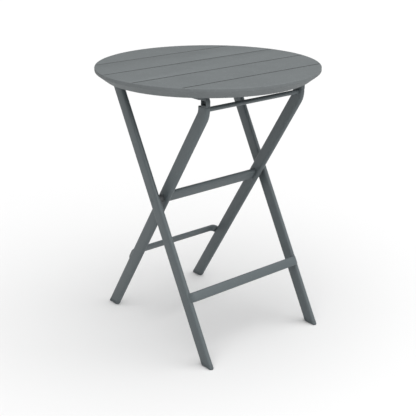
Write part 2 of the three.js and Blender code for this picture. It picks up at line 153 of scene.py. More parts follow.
class FrameSizes(PropertyGroup):
    outer_foot_y: length("Outer foot", "Where the outer legs' centre lines meet the floor", -230.5 * MM)
    inner_foot_y: length("Inner foot", "Where the inner legs' centre lines meet the floor", 247 * MM)
    deep: length("Tube depth", "The flat-oval tube's longer side", 37 * MM)
    wall: length("Wall", "The tubes' wall", 1.5 * MM)
    outer_bend_z: length("Outer bend", "Height where the outer legs start to bend", 690 * MM)
    outer_bend_radius: length("Outer bend radius", "Radius of the outer legs' bend", 60 * MM)
    outer_bend_angle: degrees("Outer bend angle", "Turn of the outer legs' bend", 14)
    inner_bend_z: length("Inner bend", "Height where the inner legs start to bend", 654.7 * MM)
    inner_bend_radius: length("Inner bend radius", "Radius of the inner legs' bend", 45 * MM)
    inner_end: length("Inner end", "Upright length above the inner legs' bend", 5 * MM)
    foot_high: length("Foot height", "Height of the feet below the tubes", 12 * MM)
    cap_head: length("Cap head", "Height of the leg caps' heads", 2.5 * MM)
    cap_stem: length("Cap stem", "Length of the leg caps' stems", 8 * MM)
    foot_round: length("Foot round", "Radius along the feet's lower edge", 4.5 * MM)


class BarSizes(PropertyGroup):
    wide: length("Width", "The bow bars' width", 26 * MM)
    thick: length("Thickness", "The bow bars' thickness", 8.5 * MM)
    stand: length("Stand-off", "From the legs' narrow faces to the bar's middle", 10.2 * MM)
    bend: length("Bend radius", "Radius of the bars' bent ends", 18 * MM)
    angle: degrees("Bend angle", "Turn of the bars' bent ends", 65)
    inset: length("Inset", "How far inside the legs' middle the ends meet them", 2 * MM)
    front_z: length("Front rung", "Height where the front rung meets the outer legs", 165.1 * MM)
    rear_z: length("Rear bar", "Height where the rear bar meets the inner legs", 173.6 * MM)


class KnuckleSizes(PropertyGroup):
    rear: length("Rear", "Where the lower part's rear face is", -173.3 * MM)
    stem: length("Stem", "Height of the peg in the leg", 12 * MM)
    chin: length("Chin", "Height of the upright front", 16 * MM)
    pocket_deep: length("Pocket depth", "Depth of the outside pocket", 9 * MM)
    pocket_wall: length("Pocket wall", "Wall beside the pocket", 2.5 * MM)
    pocket_floor: length("Pocket floor", "Floor under the pocket", 4 * MM)
    pocket_high: length("Pocket height", "Height of the pocket", 12.5 * MM)


class Colours(PropertyGroup):
    top: colour("Top", "The moulded top", (0.142, 0.156, 0.160))
    paint: colour("Paint", "The frame's powder coat", (0.093, 0.112, 0.119))
    fitting: colour("Fittings", "Knuckles, catches and caps", (0.092, 0.109, 0.116))
    foot: colour("Feet", "The feet", (0.087, 0.104, 0.111))
    steel: colour("Steel", "Screws, bolts and nuts", (0.46, 0.47, 0.48))
    nylon: colour("Nylon", "Spacers, bushes and washers", (0.055, 0.06, 0.063))
    floor: colour("Floor", "The pale floor", (0.8, 0.8, 0.8))


class StageSizes(PropertyGroup):
    azimuth: degrees("Azimuth", "The camera's place round the table", -40.08)
    elevation: degrees("Elevation", "The camera's height above the level", 20.19)
    distance: length("Distance", "From the camera to its target", 2.35)
    lens: FloatProperty(name="Lens", description="Focal length on a 36 mm sensor", default=75.8,
                        subtype="DISTANCE_CAMERA", unit="CAMERA")
    overhead: FloatProperty(name="Overhead light", description="Strength of the soft light", default=3.7)
    spread: degrees("Light spread", "The soft light's angular size", 100)
    lean: degrees("Light lean", "How far the light leans towards the front", 24)
    ambient: FloatProperty(name="Surrounding light", description="Strength of the room's light", default=0.2)


GROUPS = {
    "bistro_top": TopSizes,
    "bistro_fasteners": FastenerSizes,
    "bistro_frame": FrameSizes,
    "bistro_bars": BarSizes,
    "bistro_knuckle": KnuckleSizes,
    "bistro_colours": Colours,
    "bistro_stage": StageSizes,
}


# ---- selecting and shaping ----
def clear_selection():
    if bpy.context.object and bpy.context.object.mode != "OBJECT":
        bpy.ops.object.mode_set(mode="OBJECT")
    bpy.ops.object.select_all(action="DESELECT")


def make_active(piece):
    clear_selection()
    piece.select_set(True)
    bpy.context.view_layer.objects.active = piece


def edit(piece):
    make_active(piece)
    bpy.ops.object.mode_set(mode="EDIT")
    bpy.ops.mesh.select_all(action="SELECT")


def leave_edit():
    bpy.ops.object.mode_set(mode="OBJECT")


def pick(piece, kind, test):
    """Selects the vertices, edges or faces of the edited piece that pass a test."""
    bpy.ops.mesh.select_mode(type=kind)
    bpy.ops.mesh.select_all(action="DESELECT")
    mesh = bmesh.from_edit_mesh(piece.data)
    for part in {"VERT": mesh.verts, "EDGE": mesh.edges, "FACE": mesh.faces}[kind]:
        if test(part):
            part.select_set(True)
    mesh.select_flush_mode()
    bmesh.update_edit_mesh(piece.data)


def extrude(step):
    bpy.ops.mesh.extrude_region_move(TRANSFORM_OT_translate={"value": step})


def widen(factors, centre):
    bpy.ops.transform.resize(value=factors, center_override=centre)


def bend(angle, centre, axis, steps=8):
    """Spins the selected ring by the right-hand rule about an axis."""
    bpy.ops.mesh.spin(steps=steps, angle=-angle, center=centre, axis=axis)


def settle(name):
    """Names a new primitive and puts its place in its mesh."""
    piece = bpy.context.object
    piece.name = name
    piece.data.name = name
    bpy.ops.object.transform_apply(location=True, rotation=True, scale=True)
    return piece


def block(name, low, high):
    clear_selection()
    low, high = Vector(low), Vector(high)
    bpy.ops.mesh.primitive_cube_add(size=1, location=(low + high) / 2, scale=high - low)
    return settle(name)


def turn_to(heading, across):
    """The rotation that lays local Z along heading and local Y along across."""
    return Matrix((across.cross(heading), across, heading)).transposed()


def rod(name, start, end, radius, sides=48):
    """A round rod between two points."""
    clear_selection()
    start, end = Vector(start), Vector(end)
    heading = (end - start).normalized()
    across = Z_AXIS if abs(heading.z) < 0.5 else Y_AXIS
    across = (across - across.dot(heading) * heading).normalized()
    bpy.ops.mesh.primitive_cylinder_add(vertices=sides, radius=radius, depth=(end - start).length,
                                        location=(start + end) / 2,
                                        rotation=turn_to(heading, across).to_euler())
    return settle(name)


def oval_ring(name, centre, heading, across, thick, deep, sides=32, fill="NOTHING"):
    """A flat-oval ring square to heading and long along across. It is left in edit mode, selected."""
    clear_selection()
    half_side = math.pi / sides
    turn = turn_to(heading, across) @ Matrix.Rotation(half_side, 3, "Z")
    bpy.ops.mesh.primitive_circle_add(vertices=sides, radius=thick / 2 / math.cos(half_side), fill_type=fill,
                                      location=centre, rotation=turn.to_euler())
    piece = settle(name)
    bpy.ops.object.mode_set(mode="EDIT")
    straight = (deep - thick) / 2
    if straight > 0:
        for side in (-1, 1):
            pick(piece, "VERT", lambda vert: side * (vert.co - centre).dot(across) > 0)
            bpy.ops.transform.translate(value=side * straight * across)
    bpy.ops.mesh.select_mode(type="VERT")
    bpy.ops.mesh.select_all(action="SELECT")
    return piece


def tidy_shell():
    """Merges doubles and points every face outwards, in edit mode."""
    bpy.ops.mesh.select_all(action="SELECT")
    bpy.ops.mesh.remove_doubles(threshold=TOUCHING)
    bpy.ops.mesh.normals_make_consistent(inside=False)


def apply_modifier(piece, kind, **settings):
    make_active(piece)
    modifier = piece.modifiers.new(kind.title(), kind)
    for key, value in settings.items():
        setattr(modifier, key, value)
    bpy.ops.object.modifier_apply(modifier=modifier.name)


def hollow(piece, wall):
    """Gives an open tube its wall, inwards."""
    edit(piece)
    tidy_shell()
    leave_edit()
    apply_modifier(piece, "SOLIDIFY", thickness=wall, offset=-1, use_even_offset=True)


def combine(piece, tool, operation):
    apply_modifier(piece, "BOOLEAN", operation=operation, solver="EXACT", object=tool)
    bpy.data.objects.remove(tool)


def soften(piece, width, segments=2, limit=40):
    apply_modifier(piece, "BEVEL", width=width, segments=segments, limit_method="ANGLE",
                   angle_limit=math.radians(limit), use_clamp_overlap=True)


def copy_piece(piece, name, step=None, mirrored=False):
    """A copy with its own mesh, moved, or mirrored across X = 0."""
    make_active(piece)
    bpy.ops.object.duplicate()
    twin = bpy.context.object
    twin.name = name
    twin.data.name = name
    edit(twin)
    if mirrored:
        bpy.ops.transform.resize(value=(-1, 1, 1), center_override=(0, 0, 0))
        bpy.ops.mesh.normals_make_consistent(inside=False)
    if step is not None:
        bpy.ops.transform.translate(value=step)
    leave_edit()
    return twin


def check_piece(piece, nodes):
    """Raises an error if a piece has an open edge, or isn't the size of the CAD node it stands for."""
    mesh = bmesh.new()
    mesh.from_mesh(piece.data)
    faults = sum(not edge.is_manifold for edge in mesh.edges)
    spans = [[vert.co[axis] for vert in mesh.verts] for axis in range(3)]
    volume = mesh.calc_volume(signed=True)
    mesh.free()
    if faults or volume <= 0:
        raise RuntimeError(f"{piece.name} isn't a closed solid: {faults} faulty edges, volume {volume}")
    low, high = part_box(nodes[0])
    off = max(max(abs(min(span) - low[axis]), abs(max(span) - high[axis])) for axis, span in enumerate(spans))
    if off > LARGEST_MISFIT:
        raise RuntimeError(f"{piece.name} is {off * 1000:.1f} mm off {nodes[0]}")


def finish_piece(piece, body, slot, nodes, smooth=35):
    """Smooths a piece and gives it its finish and its body. It checks the piece against the CAD nodes it
    stands for, then hides them.
    """
    check_piece(piece, nodes)
    make_active(piece)
    bpy.ops.object.shade_smooth_by_angle(angle=math.radians(smooth))
    piece.data.materials.clear()
    piece.data.materials.append(material_for(slot))
    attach(piece, body)
    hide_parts(*nodes)


def finish_pair(right, name, body, slot, smooth=35):
    """Finishes a right-hand piece and its mirrored twin, each for the CAD node of its own side."""
    left = copy_piece(right, f"{name}_left_piece", mirrored=True)
    for piece, side in ((left, "left"), (right, "right")):
        finish_piece(piece, body, slot, [f"{name}_{side}"], smooth)


# ---- finishes ----
def node(tree, kind, **settings):
    made = tree.nodes.new(kind)
    for key, value in settings.items():
        setattr(made, key, value)
    return made


def surface_grain():
    """Fine grain, slow cloudiness and sparse specks, as heights and masks that vary over the surface."""
    if "Surface grain" in bpy.data.node_groups:
        return bpy.data.node_groups["Surface grain"]
    tree = bpy.data.node_groups.new("Surface grain", "ShaderNodeTree")
    for name, kind in (("Vector", "NodeSocketVector"), ("Grain Scale", "NodeSocketFloat"),
                       ("Cloud Scale", "NodeSocketFloat"), ("Speck Scale", "NodeSocketFloat")):
        tree.interface.new_socket(name=name, in_out="INPUT", socket_type=kind)
    for name in ("Height", "Cloud", "Specks"):
        tree.interface.new_socket(name=name, in_out="OUTPUT", socket_type="NodeSocketFloat")
    enter = node(tree, "NodeGroupInput")
    leave = node(tree, "NodeGroupOutput")
    fine = node(tree, "ShaderNodeTexNoise")
    fine.inputs["Detail"].default_value = 3
    cells = node(tree, "ShaderNodeTexVoronoi", feature="SMOOTH_F1")
    both = node(tree, "ShaderNodeMath", operation="ADD")
    cloud = node(tree, "ShaderNodeTexNoise")
    cloud.inputs["Detail"].default_value = 4
    specks = node(tree, "ShaderNodeTexNoise")
    specks.inputs["Detail"].default_value = 1
    spots = node(tree, "ShaderNodeMapRange")
    spots.inputs["From Min"].default_value = 0.62
    spots.inputs["From Max"].default_value = 0.72
    for texture, scale in ((fine, "Grain Scale"), (cells, "Grain Scale"), (cloud, "Cloud Scale"),
                           (specks, "Speck Scale")):
        tree.links.new(enter.outputs["Vector"], texture.inputs["Vector"])
        tree.links.new(enter.outputs[scale], texture.inputs["Scale"])
    tree.links.new(fine.outputs["Fac"], both.inputs[0])
    tree.links.new(cells.outputs["Distance"], both.inputs[1])
    tree.links.new(both.outputs["Value"], leave.inputs["Height"])
    tree.links.new(cloud.outputs["Fac"], leave.inputs["Cloud"])
    tree.links.new(specks.outputs["Fac"], spots.inputs["Value"])
    tree.links.new(spots.outputs["Result"], leave.inputs["Specks"])
    return tree


def tinted(value, factor):
    return (*(min(1, channel * factor) for channel in value), 1)


def grained(name, value, grain, bump, roughness, spread, metallic=0.0, cloud=9, specks=160, contrast=0.07):
    """A surface with grain of that many cells a metre, slow changes of shade and fine specks."""
    material = bpy.data.materials.new(name)
    material.use_nodes = True
    tree = material.node_tree
    shader = tree.nodes["Principled BSDF"]
    shader.inputs["Metallic"].default_value = metallic
    place = node(tree, "ShaderNodeTexCoord")
    texture = node(tree, "ShaderNodeGroup", node_tree=surface_grain())
    texture.inputs["Grain Scale"].default_value = grain
    texture.inputs["Cloud Scale"].default_value = cloud
    texture.inputs["Speck Scale"].default_value = specks
    tree.links.new(place.outputs["Object"], texture.inputs["Vector"])

    shade = node(tree, "ShaderNodeMix", data_type="RGBA")
    shade.inputs["A"].default_value = tinted(value, 1 - contrast)
    shade.inputs["B"].default_value = tinted(value, 1 + contrast)
    tree.links.new(texture.outputs["Cloud"], shade.inputs["Factor"])
    flecks = node(tree, "ShaderNodeMix", data_type="RGBA")
    flecks.inputs["B"].default_value = tinted(value, 1 + 2 * contrast)
    tree.links.new(texture.outputs["Specks"], flecks.inputs["Factor"])
    tree.links.new(shade.outputs["Result"], flecks.inputs["A"])
    tree.links.new(flecks.outputs["Result"], shader.inputs["Base Color"])

    gloss = node(tree, "ShaderNodeMapRange")
    gloss.inputs["To Min"].default_value = roughness - spread
    gloss.inputs["To Max"].default_value = roughness + spread
    tree.links.new(texture.outputs["Height"], gloss.inputs["Value"])
    tree.links.new(gloss.outputs["Result"], shader.inputs["Roughness"])

    relief = node(tree, "ShaderNodeBump")
    relief.inputs["Strength"].default_value = 1
    relief.inputs["Distance"].default_value = bump
    tree.links.new(texture.outputs["Height"], relief.inputs["Height"])
    tree.links.new(relief.outputs["Normal"], shader.inputs["Normal"])
    return material


def moulded_resin():
    """The top: a matt resin with a fine, slightly mottled moulded grain, and painted shade in its grooves."""
    material = grained("Moulded resin", scene_colours().top, grain=900, bump=0.09 * MM, roughness=0.62,
                       spread=0.08, cloud=14, contrast=0.09)
    paint_groove_shade(material.node_tree)
    return material


def paint_groove_shade(tree):
    """Paints shade into the sides and floors of the top's grooves: the colour there is darkened to stand in
    for the shadow inside them.
    """
    sizes = bpy.context.scene.bistro_top
    shader = tree.nodes["Principled BSDF"]
    plain = shader.inputs["Base Color"].links[0].from_socket
    place = node(tree, "ShaderNodeTexCoord")
    parts = node(tree, "ShaderNodeSeparateXYZ")
    tree.links.new(place.outputs["Object"], parts.inputs["Vector"])
    shifted = node(tree, "ShaderNodeMath", operation="ADD")
    shifted.inputs[1].default_value = sizes.plank_pitch / 2
    from_groove = node(tree, "ShaderNodeMath", operation="PINGPONG")
    from_groove.inputs[1].default_value = sizes.plank_pitch / 2
    tree.links.new(parts.outputs["Y"], shifted.inputs[0])
    tree.links.new(shifted.outputs["Value"], from_groove.inputs[0])
    half = sizes.groove_width / 2
    near = fade(tree, from_groove.outputs["Value"], half, PAINTED_SHADE_FADES["side"])
    below = fade(tree, parts.outputs["Z"], TOP.high.z, PAINTED_SHADE_FADES["mouth"])
    above = node(tree, "ShaderNodeMath", operation="GREATER_THAN")
    above.inputs[1].default_value = TOP.high.z - sizes.plate
    tree.links.new(parts.outputs["Z"], above.inputs[0])
    level = node(tree, "ShaderNodeCombineXYZ")
    for name in ("X", "Y"):
        tree.links.new(parts.outputs[name], level.inputs[name])
    from_middle = node(tree, "ShaderNodeVectorMath", operation="LENGTH")
    tree.links.new(level.outputs["Vector"], from_middle.inputs[0])
    groove_end = TOP.size.x / 2 - sizes.groove_lip
    inside = fade(tree, from_middle.outputs["Value"], groove_end, PAINTED_SHADE_FADES["end"])
    painted_shade_mask = above.outputs["Value"]
    for factor in (near, below, inside):
        both = node(tree, "ShaderNodeMath", operation="MULTIPLY")
        tree.links.new(painted_shade_mask, both.inputs[0])
        tree.links.new(factor, both.inputs[1])
        painted_shade_mask = both.outputs["Value"]
    # The top's colour darkened inside the grooves: painted shade standing in for the shadow there.
    painted_shade = node(tree, "ShaderNodeMix", data_type="RGBA")
    painted_shade.inputs["B"].default_value = tinted(scene_colours().top, GROOVE_PAINTED_SHADE)
    tree.links.new(painted_shade_mask, painted_shade.inputs["Factor"])
    tree.links.new(plain, painted_shade.inputs["A"])
    tree.links.new(painted_shade.outputs["Result"], shader.inputs["Base Color"])


def fade(tree, value, edge, reach):
    """One up to the start of the reach round an edge, falling to zero at its end."""
    ramp = node(tree, "ShaderNodeMapRange")
    limits = (("From Min", edge + reach[0]), ("From Max", edge + reach[1]), ("To Min", 1), ("To Max", 0))
    for name, number in limits:
        ramp.inputs[name].default_value = number
    tree.links.new(value, ramp.inputs["Value"])
    return ramp.outputs["Result"]


def powder_coat():
    """The tubes: a satin powder coat with a fine orange-peel skin."""
    return grained("Powder coat", scene_colours().paint, grain=700, bump=0.05 * MM, roughness=0.42,
                   spread=0.06, cloud=18, contrast=0.05)


def fitting_plastic():
    return grained("Fitting plastic", scene_colours().fitting, grain=1500, bump=0.05 * MM,
                   roughness=0.5, spread=0.06, cloud=40)


def foot_plastic():
    return grained("Foot plastic", scene_colours().foot, grain=1300, bump=0.07 * MM, roughness=0.6,
                   spread=0.08, cloud=50, contrast=0.1)


def nylon():
    return grained("Nylon", scene_colours().nylon, grain=1800, bump=0.03 * MM, roughness=0.45,
                   spread=0.05, cloud=60)


def plated_steel():
    return grained("Plated steel", scene_colours().steel, grain=2600, bump=0.02 * MM, roughness=0.33,
                   spread=0.08, metallic=1.0, cloud=120, specks=900, contrast=0.12)


FINISHES = {
    "top_resin": moulded_resin,
    "frame_paint": powder_coat,
    "fitting_plastic": fitting_plastic,
    "foot_plastic": foot_plastic,
    "plated_steel": plated_steel,
    "nylon": nylon,
}
MADE = {}


def scene_colours():
    return bpy.context.scene.bistro_colours


def material_for(slot):
    if slot not in MADE:
        MADE[slot] = FINISHES[slot]()
    return MADE[slot]


# ---- the two leg frames ----
class LegLine:
    """The centre line of a frame's legs, from the floor through the scissor pivot."""

    def __init__(self, foot_y):
        self.foot = Vector((0, foot_y, 0))
        self.heading = Vector((0, PIVOT.y - foot_y, PIVOT.z)).normalized()
        self.across = Vector((0, self.heading.z, -self.heading.y))
        self.lean = math.atan2(self.heading.y, self.heading.z)

    def at(self, z, x=0.0):
        point = self.foot + self.heading * (z / self.heading.z)
        return Vector((x, point.y, z))


def outer_line():
    return LegLine(bpy.context.scene.bistro_frame.outer_foot_y)


def inner_line():
    return LegLine(bpy.context.scene.bistro_frame.inner_foot_y)


def straight_leg(name, line, x, bend_z):
    """A flat-oval tube from under its foot up to its bend, left in edit mode with its upper ring selected."""
    sizes = bpy.context.scene.bistro_frame
    below = line.at(-sizes.deep, x)
    piece = oval_ring(name, below, line.heading, line.across, OUTER_LEG.size.x, sizes.deep)
    extrude(line.at(bend_z, x) - below)
    return piece


def trim(piece, place, normal):
    """Cuts a walled tube off at a plane and closes the wall again at each cut end."""
    edit(piece)
    bpy.ops.mesh.bisect(plane_co=place, plane_no=normal, clear_inner=True)
    for side in (-1, 1):
        pick(piece, "EDGE", lambda edge: edge.is_boundary and side * edge.verts[0].co.x > 0)
        if any(edge.select for edge in bmesh.from_edit_mesh(piece.data).edges):
            bpy.ops.mesh.bridge_edge_loops()
    leave_edit()


class BISTRO_OT_legs(Operator):
    """Bends and cuts the two outer and the two inner legs from flat-oval tube"""
    bl_idname = "bistro.legs"
    bl_label = "Legs"

    def execute(self, context):
        sizes = context.scene.bistro_frame
        line, x = outer_line(), OUTER_LEG.centre.x
        outer = straight_leg("outer_leg_right_piece", line, x, sizes.outer_bend_z)
        middle = line.at(sizes.outer_bend_z, x) + line.across * sizes.outer_bend_radius
        bend(-sizes.outer_bend_angle, middle, X_AXIS)
        self.complete(outer, OUTER_LEG, BORES["bush"])
        finish_pair(outer, "outer_leg", "outer_frame", "frame_paint")

        line, x = inner_line(), INNER_LEG.centre.x
        inner = straight_leg("inner_leg_right_piece", line, x, sizes.inner_bend_z)
        middle = line.at(sizes.inner_bend_z, x) + line.across * sizes.inner_bend_radius
        bend(line.lean, middle, X_AXIS)
        extrude(Z_AXIS * sizes.inner_end)
        self.complete(inner, INNER_LEG, BORES["bolt"])
        finish_pair(inner, "inner_leg", "inner_frame", "frame_paint")
        return {"FINISHED"}

    def complete(self, leg, room, bore):
        sizes = bpy.context.scene.bistro_frame
        leave_edit()
        hollow(leg, sizes.wall)
        trim(leg, Z_AXIS * (sizes.foot_high + GAP), Z_AXIS)
        side = Vector((room.size.x, 0, 0))
        centre = Vector((room.centre.x, PIVOT.y, PIVOT.z))
        combine(leg, rod("bore", centre - side, centre + side, bore), "DIFFERENCE")


class BISTRO_OT_feet(Operator):
    """Moulds the four feet, cut level with the floor, with stems that stand in the tubes"""
    bl_idname = "bistro.feet"
    bl_label = "Feet"

    def execute(self, context):
        for name, line, room, body in (
            ("outer_foot", outer_line(), OUTER_LEG, "outer_frame"),
            ("inner_foot", inner_line(), INNER_LEG, "inner_frame"),
        ):
            finish_pair(self.foot(f"{name}_right_piece", line, room), name, body, "foot_plastic", smooth=50)
        return {"FINISHED"}

    def foot(self, name, line, room):
        sizes = bpy.context.scene.bistro_frame
        stretch = 1 / line.heading.z
        sole = Vector((room.centre.x, line.foot.y, 0))
        thick = room.size.x
        piece = oval_ring(name, sole, Z_AXIS, Y_AXIS, thick, sizes.deep * stretch, fill="NGON")
        extrude(line.heading * (sizes.foot_high / line.heading.z))
        shoulder = line.at(sizes.foot_high, room.centre.x)
        extrude(Vector((0, 0, 0)))
        stem_share = 1 - 2 * (sizes.wall + GAP) / thick
        widen((stem_share, 1 - 2 * (sizes.wall + GAP) / sizes.deep, 1), shoulder)
        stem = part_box(name.replace("_piece", ""))[1].z - sizes.foot_high
        extrude(line.heading * (stem / line.heading.z))
        tidy_shell()
        pick(piece, "EDGE", lambda edge: all(abs(vert.co.z) < TOUCHING for vert in edge.verts))
        bpy.ops.mesh.bevel(offset=sizes.foot_round, segments=6, profile=0.5, offset_type="OFFSET")
        tidy_shell()
        leave_edit()
        return piece


class BISTRO_OT_leg_caps(Operator):
    """Closes the outer legs' upper ends with plugs that have thin crowned heads"""
    bl_idname = "bistro.leg_caps"
    bl_label = "Leg caps"

    def execute(self, context):
        sizes = context.scene.bistro_frame
        line, x = outer_line(), OUTER_LEG.centre.x
        turn = Matrix.Rotation(-sizes.outer_bend_angle, 3, "X")
        middle = line.at(sizes.outer_bend_z, x) + line.across * sizes.outer_bend_radius
        heading, across = turn @ line.heading, turn @ line.across
        end = middle - across * sizes.outer_bend_radius
        thick = OUTER_LEG.size.x
        head_high = sizes.cap_head - GAP
        stem_high = sizes.cap_stem
        stem_shares = (1 - 2 * (sizes.wall + GAP) / thick, 1 - 2 * (sizes.wall + 4 * GAP) / sizes.deep)
        cap = oval_ring("outer_cap_right_piece", end + heading * GAP, heading, across, thick, sizes.deep,
                        fill="NGON")
        extrude(heading * head_high)
        leave_edit()
        soften(cap, ROUNDS["cap"], 3)
        stem = oval_ring("stem", end - heading * stem_high, heading, across, thick * stem_shares[0],
                         sizes.deep * stem_shares[1], fill="NGON")
        extrude(heading * (stem_high + GAP + head_high / 2))
        leave_edit()
        combine(cap, stem, "UNION")
        finish_pair(cap, "outer_cap", "outer_frame", "fitting_plastic")
        return {"FINISHED"}


# ---- cross bars ----
class BISTRO_OT_bow_bars(Operator):
    """Bends the front rung and the rear bar back at both ends to meet the legs' narrow faces"""
    bl_idname = "bistro.bow_bars"
    bl_label = "Bow bars"

    def execute(self, context):
        bars = context.scene.bistro_bars
        self.bow("front_rung", outer_line(), OUTER_LEG, bars.front_z, -1, "outer_frame")
        self.bow("rear_bar", inner_line(), INNER_LEG, bars.rear_z, 1, "inner_frame")
        return {"FINISHED"}

    def bow(self, name, line, room, z, face, body):
        bars, sizes = bpy.context.scene.bistro_bars, bpy.context.scene.bistro_frame
        out = line.across * face
        wide = line.heading
        meeting = line.at(z) + out * (sizes.deep / 2 + GAP)
        end_x = room.centre.x - bars.inset
        sine, cosine = math.sin(bars.angle), math.cos(bars.angle)
        rise = bars.bend * (1 - cosine)
        sunk = bars.thick
        slanted = sunk + (bars.stand - rise) / sine
        heading = X_AXIS * cosine + out * sine
        start = meeting - X_AXIS * end_x - heading * sunk
        half_middle = end_x - bars.bend * sine - (slanted - sunk) * cosine

        piece = oval_ring(f"{name}_piece", start, heading, wide, bars.thick, bars.wide)
        extrude(heading * slanted)
        axis = X_AXIS.cross(out)
        straight = meeting + out * bars.stand
        bend(-bars.angle, straight - X_AXIS * half_middle - out * bars.bend, axis, steps=10)
        extrude(X_AXIS * (2 * half_middle))
        bend(-bars.angle, straight + X_AXIS * half_middle - out * bars.bend, axis, steps=10)
        extrude((X_AXIS * cosine - out * sine) * slanted)
        leave_edit()
        hollow(piece, sizes.wall)
        trim(piece, meeting, out)
        finish_piece(piece, body, "frame_paint", [name])


def open_tube(name, start, end, across, thick, deep, wall, sides=32):
    """A straight tube with square ends."""
    heading = (end - start).normalized()
    piece = oval_ring(name, start, heading, across, thick, deep, sides)
    extrude(end - start)
    leave_edit()
    hollow(piece, wall)
    return piece


class BISTRO_OT_round_bars(Operator):
    """Cuts the bar between the inner legs' tops and the crossbar that lies in the catches"""
    bl_idname = "bistro.round_bars"
    bl_label = "Round bars"

    def execute(self, context):
        for name, room, body in (
            ("upper_bar", UPPER_BAR, "inner_frame"),
            ("top_crossbar", CROSSBAR, "outer_frame"),
        ):
            ends = [Vector((x, room.centre.y, room.centre.z)) for x in (room.low.x, room.high.x)]
            bar = open_tube(f"{name}_piece", *ends, Z_AXIS, room.size.z, room.size.z, BAR_WALLS[name],
                            sides=48)
            finish_piece(bar, body, "frame_paint", [name])
        return {"FINISHED"}


class BISTRO_OT_mid_bar(Operator):
    """Cuts the flat-oval bar that joins the inner legs at the scissor pivot"""
    bl_idname = "bistro.mid_bar"
    bl_label = "Middle bar"

    def execute(self, context):
        sizes = context.scene.bistro_frame
        ends = [Vector((x, PIVOT.y, PIVOT.z)) for x in (MID_BAR.low.x, MID_BAR.high.x)]
        across = inner_line().heading
        bar = open_tube("mid_bar_piece", *ends, across, OUTER_LEG.size.x, sizes.deep, sizes.wall)
        finish_piece(bar, "inner_frame", "frame_paint", ["mid_bar"])
        return {"FINISHED"}


# ---- scissor pivot ----
def ring_about_x(name, y, z, from_x, to_x, outer, inner, sides=48, rounding=ROUNDS["ring"]):
    """A short bush or washer about a line along X."""
    clear_selection()
    start = Vector((from_x, y, z))
    piece = oval_ring(name, start, X_AXIS, Z_AXIS, 2 * outer, 2 * outer, sides)
    extrude(X_AXIS * (to_x - from_x))
    leave_edit()
    hollow(piece, outer - inner)
    if rounding:
        soften(piece, rounding)
    return piece


class BISTRO_OT_pivots(Operator):
    """Turns the pivot bolts and the spacers between the legs, and finishes the parts inside"""
    bl_idname = "bistro.pivots"
    bl_label = "Scissor pivots"

    def execute(self, context):
        bore = BORES["bolt"]
        room = Room("pivot_spacer_right")
        spacer = ring_about_x("pivot_spacer_right_piece", PIVOT.y, PIVOT.z, room.low.x, room.high.x,
                              room.size.z / 2, bore)
        finish_pair(spacer, "pivot_spacer", "inner_frame", "nylon")

        room = Room("pivot_bolt_right")
        fasteners = context.scene.bistro_fasteners
        shank, head, cone_high = fasteners.bolt_shank, room.size.z / 2, fasteners.cone_high
        start = Vector((room.low.x, PIVOT.y, PIVOT.z))
        bolt = oval_ring("pivot_bolt_right_piece", start, X_AXIS, Z_AXIS, 2 * shank, 2 * shank, 48, "NGON")
        extrude(X_AXIS * (room.size.x - cone_high))
        extrude(X_AXIS * (cone_high - GAP))
        tip = Vector((room.high.x - GAP, PIVOT.y, PIVOT.z))
        widen((1, head / shank, head / shank), tip)
        extrude(X_AXIS * GAP)
        widen((1, 0.95, 0.95), tip)
        tidy_shell()
        leave_edit()
        finish_pair(bolt, "pivot_bolt", "inner_frame", "frame_paint")
        for name, slot in (("pivot_bush", "nylon"), ("pivot_anchor", "plated_steel")):
            finish_carried(name, slot)
        return {"FINISHED"}


def finish_carried(name, slot):
    """Gives CAD nodes whose shape is right their finish."""
    for side, _ in SIDES:
        carried = frame["nodes"][f"{name}_{side}"]
        carried.data.materials.clear()
        carried.data.materials.append(material_for(slot))


